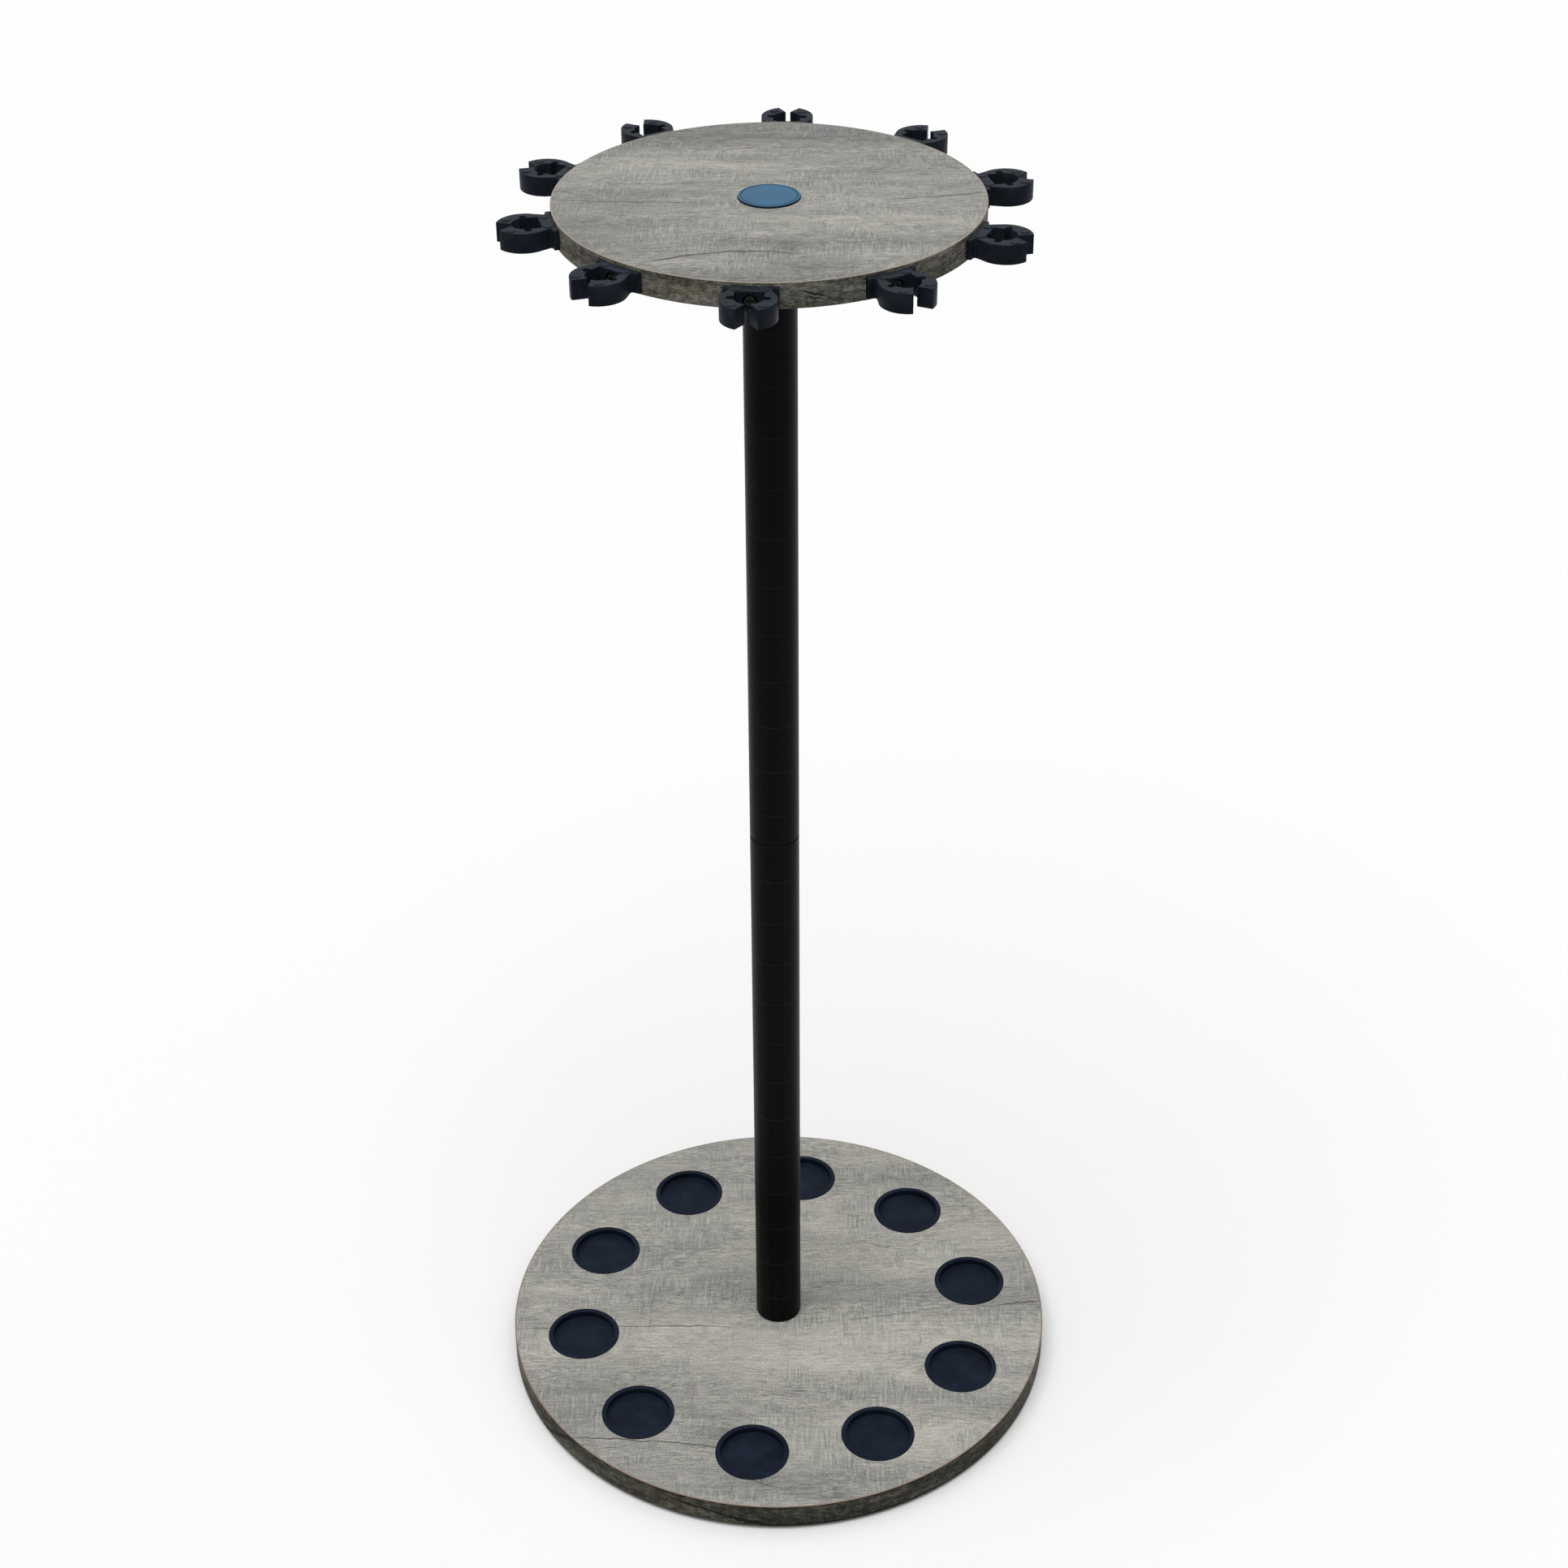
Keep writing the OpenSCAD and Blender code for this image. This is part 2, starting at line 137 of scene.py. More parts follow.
floor_paint, tree, shader = finish("floor_paint", Roughness=0.9, Specular_IOR_Level=0.0)
tree.links.new(
    add(tree, "Mix", {
        "Factor": seen_directly(tree), "A": [FLOOR_BOUNCE] * 3 + [1], "B": "#FFFFFF",
    }, data_type="RGBA"),
    shader.inputs["Base Color"],
)
bm = bmesh.new()
bmesh.ops.create_circle(bm, cap_ends=True, segments=64, radius=FLOOR_R)
floor = new_piece("floor", bm, floor_paint)

world = bpy.data.worlds.new("sky")
world.use_nodes = True
bpy.context.scene.world = world
tree = world.node_tree
up = add(tree, "SeparateXYZ", {0: add(tree, "TexCoord").node.outputs["Generated"]}).node.outputs["Z"]
up = add(tree, "Math", {0: up, 1: 0.0}, operation="MAXIMUM")
glow = add(tree, "Math", {0: up, 1: SKY_POWER}, operation="POWER")
glow = add(tree, "Math", {0: glow, 1: SKY_TOP, 2: SKY_LOW}, operation="MULTIPLY_ADD")
strength = add(tree, "Mix", {"Factor": seen_directly(tree), "A": glow, "B": 1.0}, data_type="FLOAT")
background = tree.nodes["Background"]
background.inputs["Color"].default_value = linear("#FFFFFF")
tree.links.new(strength, background.inputs["Strength"])

sun_data = bpy.data.lights.new("softbox", "SUN")
sun_data.energy = SUN_SHARE * math.pi
sun_data.angle = SUN_ANGLE
sun = bpy.data.objects.new("softbox", sun_data)
sun.rotation_euler = SUN_TILT
bpy.context.scene.collection.objects.link(sun)


# Boards. Two round boards of 18 and 15 mm particle board, faced with printed
# barn-wood laminate whose grain runs along X: dry grey wood with saw marks and
# long cracks. The top board shows the same print smaller, from another place.
BOARD_SKIN = 0.05
SKIN_SOFT = 0.02
CRACK_SOFT = 0.3
CRACK_WANDER = 4
GRAIN_WANDER = 22
SAW_LEAN = math.radians(1.5)
CRACK_DARK = 0.85
RELIEF = 0.3
RELIEF_STRENGTH = 0.4

# Cell sizes of the patterns in mm, along and across the grain and, for the chips of
# the core, in height. The others change little through a board, with TALL cells.
# Real fibres and pores are a few tenths of a millimetre wide, too fine to show in
# the render, so FIBRE, SAW_ROW and GRIT are drawn coarser.
TALL = 400
BROAD = (420, 64)
SWAY = (150, 60)
CLOUD = (70, 14)
BLOT = (16, 7)
BUSY = (64, 22)
FIBRE = (8.5, 1.3)
STREAK = (40, 2.0)
HAIR = (48, 3.6)
GRIT = (1.3, 1.1)
SAWN = (54, 34)
SAW_ROW = (1.6, 17)
SCRIBE = (3.4, 46)
SCRIBED = (40, 30)
WANDER = (12, 400)
CHIP = (2.4, 2.4, 1.2)

# Darker and paler ovals: x, y, half width, half depth, and how much lighter. Cracks:
# points with x, y and their share of the width, then the width. All in mm.
TONE_SPOTS = [
    (-38, -122, 44, 40, -0.28),
    (-20, -165, 60, 26, -0.28),
    (35, -182, 60, 14, -0.24),
    (70, -145, 90, 22, 0.12),
    (110, 45, 80, 40, 0.10),
    (0, -56, 280, 60, 0.17),
]
BASE_CRACKS = [
    ([(-191, -18, 0.5), (-150, -19, 1), (-100, -17.6, 0.7), (-60, -18, 1), (-24, -20, 0)], 1.3),
    ([(36, -16, 0), (62, -12, 0.5), (97, -7, 0.6), (130, 0, 0.4), (156, -2, 0.5), (172, 1, 1),
      (191, 3, 0.6)], 1.5),
    ([(-143, -125, 0.7), (-110, -127, 1), (-80, -130, 0.8), (-55, -133, 1), (-38, -138, 0.7),
      (-28, -146, 0)], 1.4),
    ([(-40, -150, 0), (-28, -161, 0.9), (-11, -170, 1), (8, -177, 0)], 1.1),
    ([(70, 141, 0), (90, 139, 0.9), (118, 133, 0)], 0.9),
]
TOP_CRACKS = [
    ([(-122, -1, 0.4), (-90, -5, 1), (-51, -7, 0.8), (-29, -8, 0)], 1.2),
    ([(58, -7, 0), (75, -4, 0.8), (98, -1, 1), (122, 4, 0.6)], 1.6),
    ([(-74, -95, 0), (-60, -90, 1), (-40, -83, 0.9), (-20, -79, 1), (4, -80, 0.8), (17, -87, 0)], 1.9),
    ([(-28, 113, 0), (-15, 116, 1), (0, 119, 0)], 1.0),
    ([(30, -62, 0), (44, -61, 0.7), (60, -63, 0)], 0.8),
]
WOOD = [(0.06, "#656764"), (0.32, "#858581"), (0.50, "#9A9892"), (0.68, "#ADAAA2"), (0.94, "#C9C5BC")]
CHIPBOARD = [(0.3, "#8A6C47"), (0.5, "#B3946A"), (0.7, "#CDB48C")]


def dress(nodes, material):
    """Gives some CAD nodes their finish."""
    for node in nodes:
        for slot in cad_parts[node].material_slots:
            slot.material = material


def noise(tree, place, cell, detail=2.0, roughness=0.5, turn=0.0):
    """Noise about zero whose cells have this size in mm, turned by an angle in the XY plane."""
    if turn:
        place = add(tree, "VectorRotate", {"Vector": place, "Angle": turn})
    wide, deep, *high = cell
    per_cell = [1 / (size * MM) for size in (wide, deep, *(high or [TALL]))]
    place = add(tree, "Mapping", {"Vector": place, "Scale": per_cell})
    fac = add(tree, "TexNoise", {"Vector": place, "Scale": 1.0, "Detail": detail, "Roughness": roughness})
    return add(tree, "Math", {0: fac, 1: 0.5}, operation="SUBTRACT")


def weigh(tree, parts, start=0.0):
    """The sum of some patterns, each times its weight and its masks."""
    total = start
    for weight, pattern, *masks in parts:
        for mask in masks:
            pattern = add(tree, "Math", {0: pattern, 1: mask}, operation="MULTIPLY")
        total = add(tree, "Math", {0: pattern, 1: weight, 2: total}, operation="MULTIPLY_ADD")
    return total


def spot_mask(tree, sheet, x, y, wide, deep):
    """One in the middle of an oval of the print, in mm, falling to zero at its edge."""
    place = add(tree, "Mapping", {
        "Vector": sheet,
        "Location": (-x / wide, -y / deep, 0),
        "Scale": (1 / (wide * MM), 1 / (deep * MM), 0),
    })
    return add(tree, "TexGradient", {0: place}, gradient_type="QUADRATIC_SPHERE")


def crack(tree, x, y, points, width):
    """The mask of a crack along some points (x, y, share of the width), in mm."""
    first, last = points[0][0], points[-1][0]
    foot = min(point[1] for point in points) - 1
    rise = max(point[1] for point in points) + 1 - foot
    line = add(
        tree, "ValToRGB", {0: add(tree, "MapRange", {0: x, 1: first * MM, 2: last * MM})},
        stops=[
            ((along - first) / (last - first), ((across - foot) / rise, share, 0, 1))
            for along, across, share in points
        ],
    )
    split = add(tree, "SeparateColor", {0: line}).node.outputs
    middle = add(tree, "Math", {0: split[0], 1: rise * MM, 2: foot * MM}, operation="MULTIPLY_ADD")
    off = add(tree, "Math", {0: y, 1: middle}, operation="SUBTRACT")
    off = add(tree, "Math", {0: off}, operation="ABSOLUTE")
    inside = add(tree, "Math", {0: split[1], 1: width / 2 * MM}, operation="MULTIPLY")
    inside = add(tree, "Math", {0: inside, 1: off}, operation="SUBTRACT")
    return add(tree, "MapRange", {0: inside, 1: 0.0, 2: CRACK_SOFT * MM})


def laminate(name, board, scale, start, tone, cracks):
    """Printed barn-wood laminate over a bare particle-board core.

    The print is laid at its own scale, with this point of it over the board's middle.
    The sheet is matt, so its shine is low; the sky and the floor both show white in it."""
    material, tree, shader = finish(name, Roughness=0.6, IOR=1.4, Specular_IOR_Level=0.22)
    place = add(tree, "TexCoord").node.outputs["Object"]
    x, y, z = add(tree, "SeparateXYZ", {0: place}).node.outputs
    sheet = add(tree, "Mapping", {
        "Vector": place, "Location": [start[0] * MM, start[1] * MM, 0], "Scale": [1 / scale] * 3,
    })
    along, across, through = add(tree, "SeparateXYZ", {0: sheet}).node.outputs
    across = weigh(tree, [(GRAIN_WANDER * MM, noise(tree, sheet, SWAY, detail=1))], start=across)
    grain = add(tree, "CombineXYZ", {0: along, 1: across, 2: through})

    busy = noise(tree, grain, BUSY)
    busy = add(tree, "MapRange", {0: busy, 1: -0.07, 2: 0.07, 3: 0.5}, interpolation_type="SMOOTHSTEP")
    sawn = noise(tree, sheet, SAWN)
    sawn = add(tree, "MapRange", {0: sawn, 1: -0.01, 2: 0.09}, interpolation_type="SMOOTHSTEP")
    plain = add(tree, "MapRange", {0: sawn, 3: 1.0, 4: 0.6})
    fibre = noise(tree, grain, FIBRE, detail=3, roughness=0.7)
    fibre = add(tree, "MapRange", {
        0: fibre, 1: -0.09, 2: 0.09, 3: -0.5, 4: 0.5,
    }, interpolation_type="SMOOTHSTEP")
    streak = noise(tree, grain, STREAK)
    streak = add(tree, "MapRange", {
        0: streak, 1: -0.12, 2: 0.12, 3: -0.5, 4: 0.5,
    }, interpolation_type="SMOOTHSTEP")
    rows = noise(tree, sheet, SAW_ROW, turn=SAW_LEAN)
    ridge = add(tree, "MapRange", {0: rows, 1: 0.03, 2: 0.11}, interpolation_type="SMOOTHSTEP")
    groove = add(tree, "MapRange", {0: rows, 1: -0.04, 2: -0.16}, interpolation_type="SMOOTHSTEP")
    hair = add(tree, "Math", {0: noise(tree, grain, HAIR)}, operation="ABSOLUTE")
    hair = add(tree, "MapRange", {0: hair, 1: 0.008, 2: 0.026, 3: 1.0, 4: 0.0})
    grit = noise(tree, sheet, GRIT, detail=1)
    net = weigh(tree, [
        (1.0, fibre, busy, plain), (0.55, ridge, sawn), (-0.35, groove, sawn), (-0.4, hair, busy),
    ])
    value = weigh(tree, [
        (0.9, noise(tree, grain, BROAD, detail=1)),
        (0.36, noise(tree, grain, CLOUD)),
        (0.32, noise(tree, grain, BLOT, detail=3, roughness=0.6)),
        (0.32, net), (0.10, streak), (0.75, grit), (-0.04, sawn),
        *((share, spot_mask(tree, sheet, *oval)) for *oval, share in TONE_SPOTS),
    ], start=tone)
    colour = add(tree, "ValToRGB", {0: value}, stops=WOOD)
    greyed = weigh(tree, [(0.14, sawn)])
    colour = add(tree, "Mix", {"Factor": greyed, "A": colour, "B": "#959B97"}, data_type="RGBA")

    scribe = noise(tree, sheet, SCRIBE, detail=1, turn=SAW_LEAN)
    scribe = add(tree, "Math", {0: scribe}, operation="ABSOLUTE")
    scribe = add(tree, "MapRange", {0: scribe, 1: 0.012, 2: 0.03, 3: 1.0, 4: 0.0})
    scribed = noise(tree, sheet, SCRIBED)
    scribed = add(tree, "MapRange", {0: scribed, 1: 0.05, 2: 0.09}, interpolation_type="SMOOTHSTEP")
    wander = noise(tree, place, WANDER, roughness=0.6)
    crack_y = weigh(tree, [(-CRACK_WANDER * MM, wander)], start=y)
    marks = weigh(tree, [(0.3, scribe, scribed)])
    for points, width in cracks:
        split = crack(tree, x, crack_y, points, width)
        marks = add(tree, "Math", {0: marks, 1: split}, operation="MAXIMUM")
    marked = weigh(tree, [(CRACK_DARK, marks)])
    colour = add(tree, "Mix", {"Factor": marked, "A": colour, "B": "#3D3E3A"}, data_type="RGBA")

    low, high = (corner.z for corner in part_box(board))
    skin = (high - low) / 2 - BOARD_SKIN * MM
    depth = add(tree, "Math", {0: z, 1: (low + high) / 2}, operation="SUBTRACT")
    depth = add(tree, "Math", {0: depth}, operation="ABSOLUTE")
    printed = add(tree, "MapRange", {0: depth, 1: skin - SKIN_SOFT * MM, 2: skin + SKIN_SOFT * MM})
    chips = weigh(tree, [(1.6, noise(tree, place, CHIP))], start=0.5)
    bare = add(tree, "ValToRGB", {0: chips}, stops=CHIPBOARD)
    colour = add(tree, "Mix", {"Factor": printed, "A": bare, "B": colour}, data_type="RGBA")
    tree.links.new(colour, shader.inputs["Base Color"])

    height = weigh(tree, [(0.3, net), (0.4, grit), (-0.5, marks)])
    bump = add(tree, "Bump", {"Height": height, "Distance": RELIEF * MM, "Strength": RELIEF_STRENGTH})
    tree.links.new(bump, shader.inputs["Normal"])
    return material


# The base board's print is set lighter (0.60) than the top board's (0.40): painted light on the base and
# painted shade on the top, for how the light falls on each board. Both boards carry one print.
dress(["base_board"], laminate("barn_wood_laminate_base", "base_board", 1.0, (0, 0), 0.60, BASE_CRACKS))
dress(["top_board"], laminate("barn_wood_laminate_top", "top_board", 0.65, (-53, -6), 0.40, TOP_CRACKS))


# Edge bands. Strips of 0.8 mm printed PVC, glued round both boards and trimmed
# flush. The print is weathered wood with black splits that run aslant, and the
# trimmed rims show as a thin pale line. Both bands are coloured darker than the
# boards' faces, and the base band darker than the top one. This darkness is in part
# painted shade, for the weak light on the upright edges, most of all low down by the floor.
RIM = 0.27
RIM_SOFT = 0.08
SPLIT_WANDER = 5

# Cell sizes in mm along and up the strip. The fibres of the print are finer than
# the render can show and are drawn coarser, as on the boards.
STRIP_DRIFT = (70, 16)
STRIP_LUMP = (7.5, 3.6)
STRIP_FIBRE = (4.5, 1.1)
STRIP_FLECK = (2.6, 1.5)
STRIP_WARM = (90, 30)
STRIP_LEAN = math.radians(5)
SPLIT_SIDE = (7, 40)
SPLIT_DUST = (5, 2)
BASE_SPLITS = [
    ([(-330, 4, 0), (-312, 9, 0.8), (-290, 14, 1), (-278, 17, 0)], 2.6),
    ([(-202, 0, 0.5), (-188, 4, 1), (-174, 11, 0.9), (-160, 18, 0.6)], 4.0),
    ([(-92, 15, 0), (-72, 12, 0.6), (-48, 9, 0.5), (-26, 4, 1), (-4, 0, 0.9)], 4.0),
    ([(62, 3, 0), (84, 7, 0.8), (112, 6, 0.5), (130, 10, 0)], 2.0),
    ([(196, 16, 0), (214, 11, 1), (240, 9, 0)], 1.8),
    ([(330, 3, 0), (352, 8, 1), (384, 12, 0.6), (400, 16, 0)], 2.6),
    ([(470, 14, 0), (496, 9, 1), (524, 3, 0)], 2.4),
    ([(-520, 3, 0), (-488, 8, 1), (-452, 13, 0)], 2.4),
]
TOP_SPLITS = [
    ([(-240, 3, 0), (-222, 6, 1), (-206, 10, 0)], 1.4),
    ([(-118, 12, 0), (-104, 9, 1), (-92, 7, 0)], 1.2),
    ([(10, 12, 0), (22, 8, 1), (34, 4, 0)], 1.8),
    ([(15, 8, 0), (23, 5.5, 1), (30, 3.5, 0)], 1.4),
    ([(104, 4, 0), (118, 7, 1), (136, 8, 0)], 1.1),
    ([(190, 12, 0), (204, 9, 1), (224, 5, 0)], 1.4),
    ([(320, 4, 0), (344, 8, 1), (362, 12, 0)], 1.4),
    ([(-362, 12, 0), (-344, 8, 1), (-322, 5, 0)], 1.4),
]


def banding(name, band, scale, stops, splits, rim_colour):
    """Printed edge banding, with its pattern laid along the strip at its own scale.

    The splits are laid in mm along the strip, from its front, and above its lower rim."""
    low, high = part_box(band)
    material, tree, shader = finish(name, Roughness=0.6, IOR=1.4, Specular_IOR_Level=0.12)
    place = add(tree, "TexCoord").node.outputs["Object"]
    x, y, z = add(tree, "SeparateXYZ", {0: place}).node.outputs
    turn = add(tree, "Math", {0: x, 1: weigh(tree, [(-1.0, y)])}, operation="ARCTAN2")
    along = weigh(tree, [(high.x, turn)])
    above = add(tree, "Math", {0: z, 1: low.z}, operation="SUBTRACT")
    flat = add(tree, "CombineXYZ", {0: along, 1: above})
    strip = add(tree, "Mapping", {"Vector": flat, "Scale": [1 / scale] * 3})

    lump = noise(tree, strip, STRIP_LUMP, detail=4, roughness=0.7)
    lump = add(tree, "MapRange", {
        0: lump, 1: -0.15, 2: 0.15, 3: -0.5, 4: 0.5,
    }, interpolation_type="SMOOTHSTEP")
    fibre = noise(tree, strip, STRIP_FIBRE, roughness=0.65, turn=STRIP_LEAN)
    fleck = noise(tree, strip, STRIP_FLECK, roughness=0.6)
    fleck = add(tree, "MapRange", {0: fleck, 1: 0.09, 2: 0.15}, interpolation_type="SMOOTHSTEP")
    value = weigh(tree, [
        (1.2, noise(tree, strip, STRIP_DRIFT, detail=3)), (0.34, lump), (0.8, fibre), (0.26, fleck),
    ], start=0.44)
    colour = add(tree, "ValToRGB", {0: value}, stops=stops)
    warm = noise(tree, strip, STRIP_WARM)
    warm = add(tree, "MapRange", {0: warm, 1: 0.05, 2: 0.14, 4: 0.5}, interpolation_type="SMOOTHSTEP")
    colour = add(tree, "Mix", {
        "Factor": warm, "A": colour, "B": "#EBD9C3",
    }, data_type="RGBA", blend_type="MULTIPLY")

    wander = noise(tree, flat, SPLIT_SIDE, detail=3, roughness=0.65)
    split_z = weigh(tree, [(-SPLIT_WANDER * MM, wander)], start=above)
    dark = weigh(tree, [(0.6, noise(tree, flat, SPLIT_DUST, detail=3))], start=-0.03)
    for points, width in splits:
        split = crack(tree, along, split_z, points, width)
        dark = add(tree, "Math", {0: dark, 1: split}, operation="MAXIMUM")
    dark = add(tree, "MapRange", {0: dark})
    darkened = weigh(tree, [(CRACK_DARK, dark)])
    colour = add(tree, "Mix", {"Factor": darkened, "A": colour, "B": "#0B0B09"}, data_type="RGBA")

    half = (high.z - low.z) / 2
    edge = add(tree, "Math", {0: above, 1: half}, operation="SUBTRACT")
    edge = add(tree, "Math", {0: edge}, operation="ABSOLUTE")
    rim = add(tree, "MapRange", {0: edge, 1: half - RIM * MM, 2: half - (RIM - RIM_SOFT) * MM})
    colour = add(tree, "Mix", {"Factor": rim, "A": colour, "B": rim_colour}, data_type="RGBA")
    tree.links.new(colour, shader.inputs["Base Color"])

    height = weigh(tree, [(0.2, lump), (0.5, fibre), (-0.6, dark)])
    bump = add(tree, "Bump", {"Height": height, "Distance": RELIEF * MM, "Strength": RELIEF_STRENGTH})
    tree.links.new(bump, shader.inputs["Normal"])
    return material


# The base band's colours are darker than the top band's: painted shade.
dress(["base_edge_band"], banding("printed_edging_base_painted_shade", "base_edge_band", 1.0, [
    (0.20, "#2C2C27"), (0.42, "#4E4E46"), (0.58, "#67665C"), (0.82, "#8F8B7E"),
], BASE_SPLITS, "#9C8474"))
dress(["top_edge_band"], banding("printed_edging_top_painted_shade", "top_edge_band", 0.65, [
    (0.20, "#4E4E47"), (0.42, "#77766D"), (0.58, "#928F85"), (0.82, "#B9B3A5"),
], TOP_SPLITS, "#AFA193"))


# Post. Two lengths of 31.75 mm steel tube, powder-coated gloss black, butted
# end to end halfway up. The coat's shine is set very low, and faint lighter bands
# along the tube are painted into its colour: painted reflections. Faint lighter
# rings run across it at an even pitch.
RING_PITCH = 33.0
RING_HALF = 0.4
FIRST_RING = 23.0
LAST_RING = 28.4

# The ripple of a powder coat is 1 to 3 mm across, and the painted reflection
# bands run the whole length of a tube. The rings are drawn wide enough to show.
PEEL = (1.8, 1.8, 1.8)
SHEEN_BANDS = (2.6, 2.6, 1200)


def powder_coat(name, ring_z):
    """Gloss black coat on a rolled tube, with painted reflections in faint bands along it and a faint ring
    at this height and at each pitch from it.
    """
    material, tree, shader = finish(name, IOR=1.5, Specular_IOR_Level=0.045)
    place = add(tree, "TexCoord").node.outputs["Object"]
    height = add(tree, "SeparateXYZ", {0: place}).node.outputs["Z"]
    ring = add(tree, "Math", {0: height, 1: ring_z}, operation="SUBTRACT")
    ring = add(tree, "Math", {0: ring, 1: RING_PITCH / 2 * MM}, operation="PINGPONG")
    ring = add(tree, "MapRange", {0: ring, 1: 0.0, 2: RING_HALF * MM, 3: 0.6, 4: 0.0})
    peel = noise(tree, place, PEEL)
    # The long bands along the tube lighten its colour here: painted reflections.
    value = weigh(tree, [(1.3, noise(tree, place, SHEEN_BANDS)), (0.2, peel)], start=0.45)
    colour = add(tree, "ValToRGB", {0: value}, stops=[(0.25, "#090909"), (0.5, "#0F0F10"), (0.8, "#19191A")])
    colour = add(tree, "Mix", {"Factor": ring, "A": colour, "B": "#3A3A3B"}, data_type="RGBA")
    tree.links.new(colour, shader.inputs["Base Color"])
    rough = add(tree, "MapRange", {0: value, 1: 0.2, 2: 0.8, 3: 0.42, 4: 0.28})
    tree.links.new(rough, shader.inputs["Roughness"])
    bump = add(tree, "Bump", {"Height": peel, "Distance": 0.05 * MM, "Strength": 0.2})
    tree.links.new(bump, shader.inputs["Normal"])
    return material


dress(["lower_tube"], powder_coat("gloss_black_coat_lower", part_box("lower_tube")[1].z - LAST_RING * MM))
dress(["upper_tube"], powder_coat("gloss_black_coat_upper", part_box("upper_tube")[0].z + FIRST_RING * MM))


# Rod cups. Ten shallow cups moulded in black ABS, each pressed into its hole
# with a thin flange lying on the laminate. The spark-eroded mould leaves a
# satin skin; its grain is under 0.1 mm and is drawn at 0.9 mm so that it shows.
def mottled(name, drift, grain, stops, rough=(), texture=0.0, **sockets):
    """A finish whose tone and roughness wander with a slow drift and a fine grain.

    Each of the two is a cell size in mm and a weight. The grain stands out by the texture, in mm."""
    material, tree, shader = finish(name, **sockets)
    place = add(tree, "TexCoord").node.outputs["Object"]
    fine = noise(tree, place, [grain[0]] * 3)
    value = weigh(tree, [(drift[1], noise(tree, place, [drift[0]] * 3)), (grain[1], fine)], start=0.5)
    tree.links.new(add(tree, "ValToRGB", {0: value}, stops=stops), shader.inputs["Base Color"])
    if rough:
        gloss = add(tree, "MapRange", {0: value, 1: 0.3, 2: 0.7, 3: rough[0], 4: rough[1]})
        tree.links.new(gloss, shader.inputs["Roughness"])
    if texture:
        bump = add(tree, "Bump", {"Height": fine, "Distance": texture * MM, "Strength": 0.4})
        tree.links.new(bump, shader.inputs["Normal"])
    return material


# The ABS's black is tinted navy: a painted reflection of a cool sky.
cup_black = mottled(
    "moulded_black_abs_painted_sky_tint", (16, 0.8), (0.9, 0.5), [(0.3, "#141A25"), (0.5, "#19212E"), (0.7, "#1F2936")],
    rough=(0.34, 0.46), texture=0.04, IOR=1.5, Specular_IOR_Level=0.04,
)
dress([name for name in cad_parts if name.startswith("rod_cup_")], cup_black)


# Rod clips. Ten C-shaped spring clips moulded in satin black nylon, each with a
# flange against the board's edge and four round ejector marks on its top. The
# mould rounds the level outer corners a little, and its fine grain is drawn coarse.
CLIPS = [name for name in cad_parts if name.startswith("rod_clip_")]
CORNER = 0.28
MARK_CORNER = 0.12
MARK_H = 0.35
SHARP = math.radians(28)
SAME = 0.01

# The nylon's black is tinted blue: a painted reflection of a cool sky.
clip_black = mottled(
    "moulded_black_nylon_painted_sky_tint", (9, 0.9), (0.8, 0.5), [(0.3, "#1A1F27"), (0.5, "#20262F"), (0.7, "#29303B")],
    rough=(0.38, 0.52), texture=0.05, IOR=1.5, Specular_IOR_Level=0.05,
)


def merged_copy(node):
    """The CAD node's mesh with its doubles merged and its flat faces joined."""
    bm = bmesh.new()
    bm.from_mesh(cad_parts[node].data)
    bmesh.ops.remove_doubles(bm, verts=bm.verts, dist=0.002 * MM)
    bmesh.ops.dissolve_limit(
        bm, angle_limit=math.radians(0.5), verts=bm.verts, edges=bm.edges, use_dissolve_boundaries=False
    )
    return bm


def round_corners(bm, heights, radius):
    """Rounds the sharp outward edges that lie at one of these heights."""
    edges = []
    for edge in bm.edges:
        z = (edge.verts[0].co.z + edge.verts[1].co.z) / 2
        level = any(abs(z - height) < SAME * MM for height in heights)
        if level and len(edge.link_faces) == 2 and edge.is_convex and edge.calc_face_angle() > SHARP:
            edges.append(edge)
    bmesh.ops.bevel(
        bm, geom=edges, offset=radius * MM, offset_type="OFFSET", segments=2, profile=0.5,
        affect="EDGES", clamp_overlap=False, material=-1,
    )


for node in CLIPS:
    low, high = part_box(node)
    bm = merged_copy(node)
    round_corners(bm, [high.z], MARK_CORNER)
    round_corners(bm, [high.z - MARK_H * MM, low.z], CORNER)
    clip = new_piece("clip_" + node.rsplit("_", 1)[1], bm, clip_black)
    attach(clip, "root")
    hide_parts(node)


# Cap. A round cap of black ABS that covers the recess of the top bolt. Its face
# is coloured slate blue, up to the rounded edge, and bare of any mark. The ring
# groove near the edge and the side stay black.
FACE_DEPTH = 0.14
FACE_SOFT = 0.04
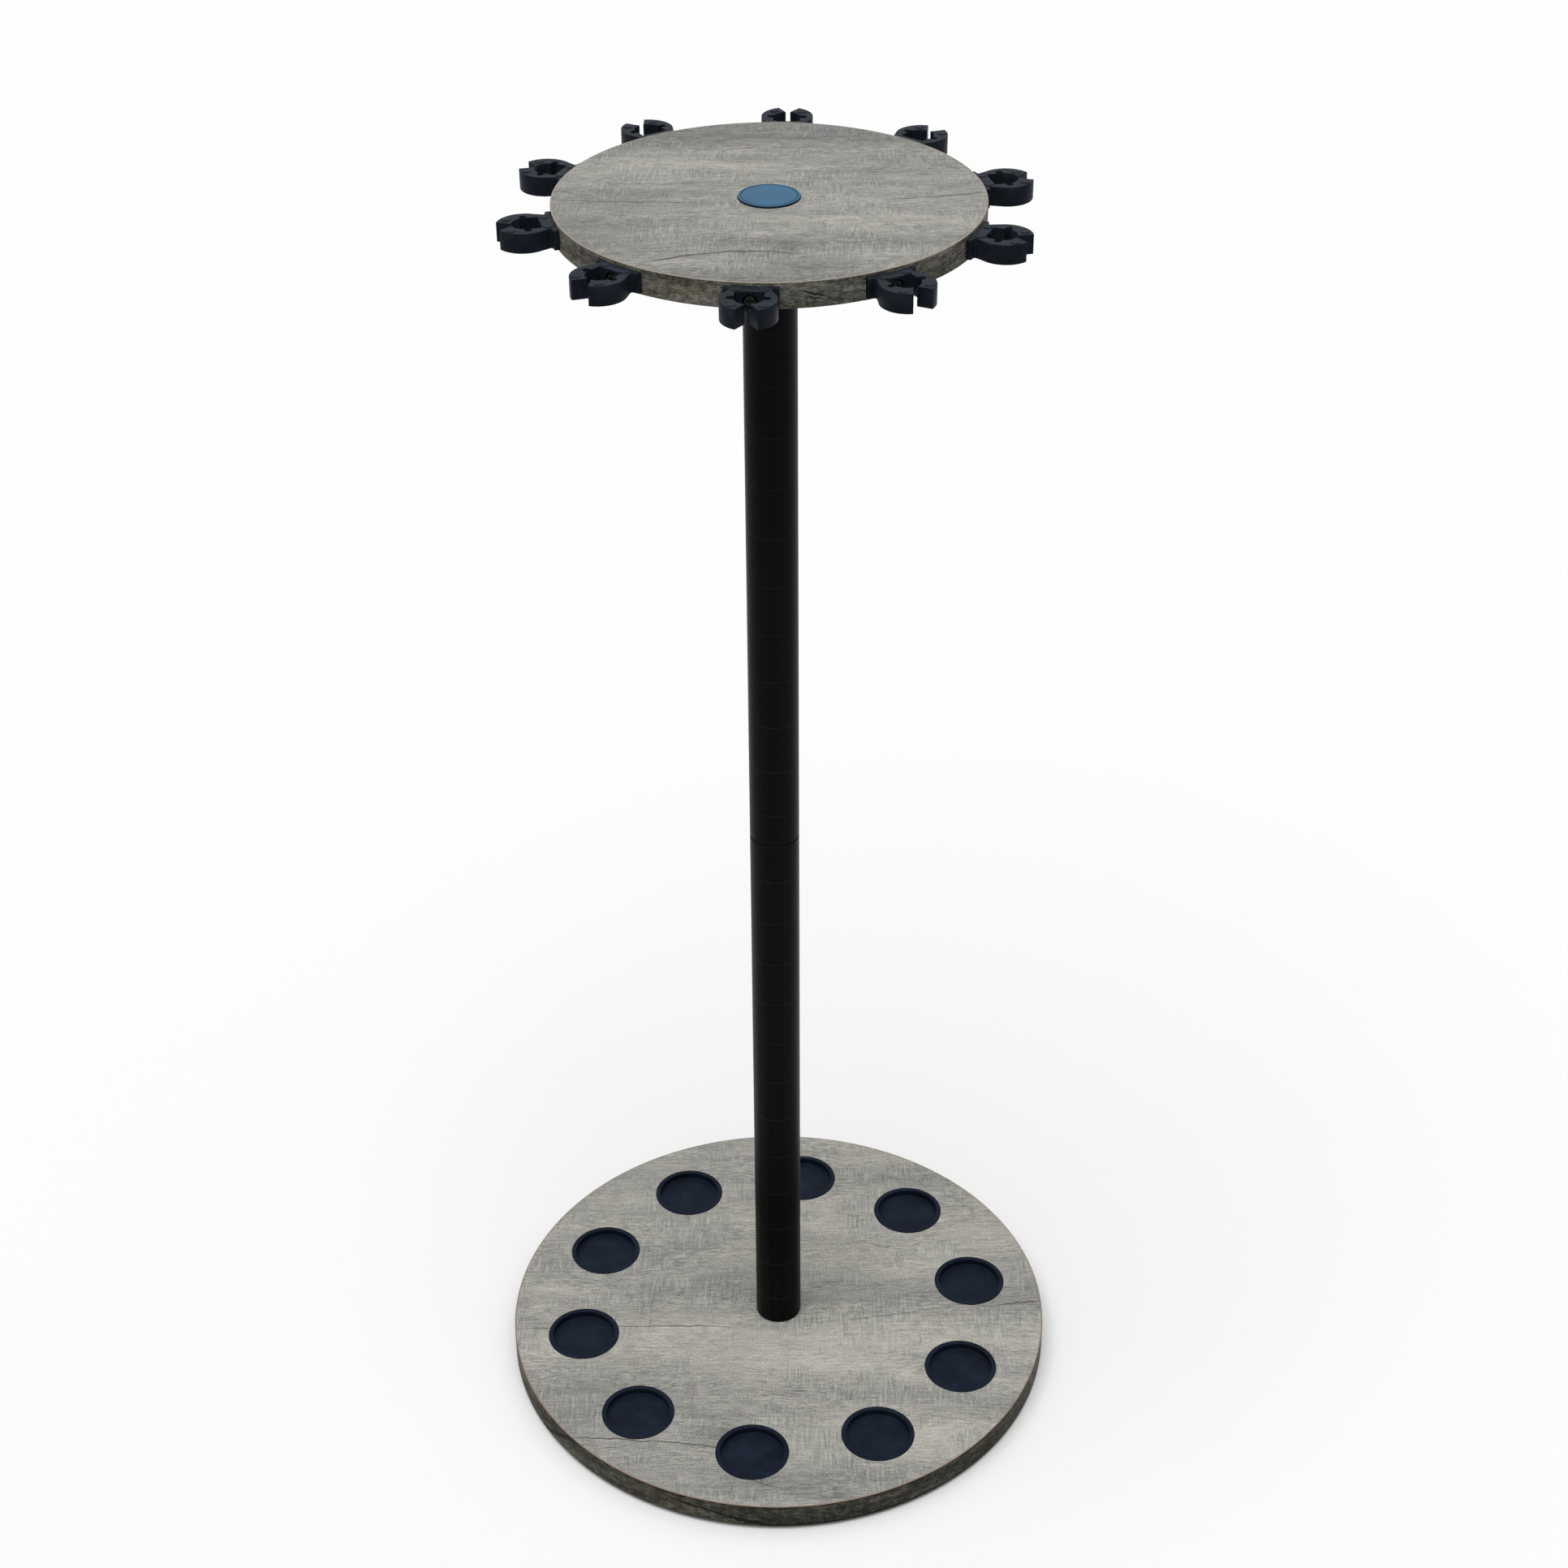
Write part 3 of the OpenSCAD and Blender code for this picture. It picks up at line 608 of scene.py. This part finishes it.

# The moulded grain of the face is too fine to show and is drawn at 0.7 mm.
cap_blue = mottled(
    "slate_blue_faced_abs", (14, 0.7), (0.7, 0.6), [(0.3, "#2D5B7B"), (0.5, "#346586"), (0.7, "#3D7092")],
    rough=(0.36, 0.5), texture=0.04, IOR=1.5, Specular_IOR_Level=0.1,
)
tree = cap_blue.node_tree
face_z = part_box("centre_cap")[1].z
height = add(tree, "SeparateXYZ", {0: add(tree, "TexCoord").node.outputs["Object"]}).node.outputs["Z"]
# Only the face's top 0.14 mm takes the slate blue; below it the cap is near-black.
printed = add(tree, "MapRange", {
    0: height, 1: face_z - FACE_DEPTH * MM, 2: face_z - (FACE_DEPTH - FACE_SOFT) * MM,
})
base_colour = tree.nodes["Principled BSDF"].inputs["Base Color"]
blue = base_colour.links[0].from_socket
tree.links.new(
    add(tree, "Mix", {"Factor": printed, "A": "#14181F", "B": blue}, data_type="RGBA"), base_colour
)
dress(["centre_cap"], cap_blue)


# Clip screws. Pan-head wood screws of black phosphated steel, a dull charcoal
# coat with a little shine. Its crystals are too fine to show and are drawn at 0.6 mm.
dress(["clip_screws"], mottled(
    "black_phosphated_steel", (5, 0.3), (0.6, 1.0), [(0.3, "#121314"), (0.5, "#1A1B1C"), (0.7, "#252627")],
    rough=(0.45, 0.62), IOR=1.5, Specular_IOR_Level=0.25,
))


# Bolts, washers, nuts and stud. Turned and stamped steel with a bright zinc
# plating. Its spangle is too fine to show, so the breaks in the shine are drawn coarse.
dress(["plug_nuts", "joint_stud", "base_bolt", "base_washer", "top_bolt", "top_washer"], mottled(
    "zinc_plated_steel", (7, 0.8), (1.4, 0.8), [(0.3, "#A3A6A8"), (0.5, "#B9BCBD"), (0.7, "#CBCDCC")],
    rough=(0.28, 0.46), Metallic=1.0,
))


# Plugs. Four ribbed plugs of natural nylon, moulded and driven into the tube
# ends, each with a steel nut in its inner end. The bare nylon is a waxy,
# faintly cloudy off-white.
dress(["foot_plug", "lower_joint_plug", "upper_joint_plug", "head_plug"], mottled(
    "natural_nylon", (8, 1.0), (1.1, 0.3), [(0.3, "#CFC9B8"), (0.7, "#E0DCCF")],
    Roughness=0.45, IOR=1.53,
))


# Pads. Six round pads of black rubber, cut from sheet and glued under the base.
# The cut sheet has a dull, slightly dusty grain, drawn coarse so that it shows.
dress(["floor_pads"], mottled(
    "black_rubber_sheet", (6, 0.4), (1.2, 1.0), [(0.3, "#191919"), (0.7, "#262626")],
    Roughness=0.8, IOR=1.5,
))
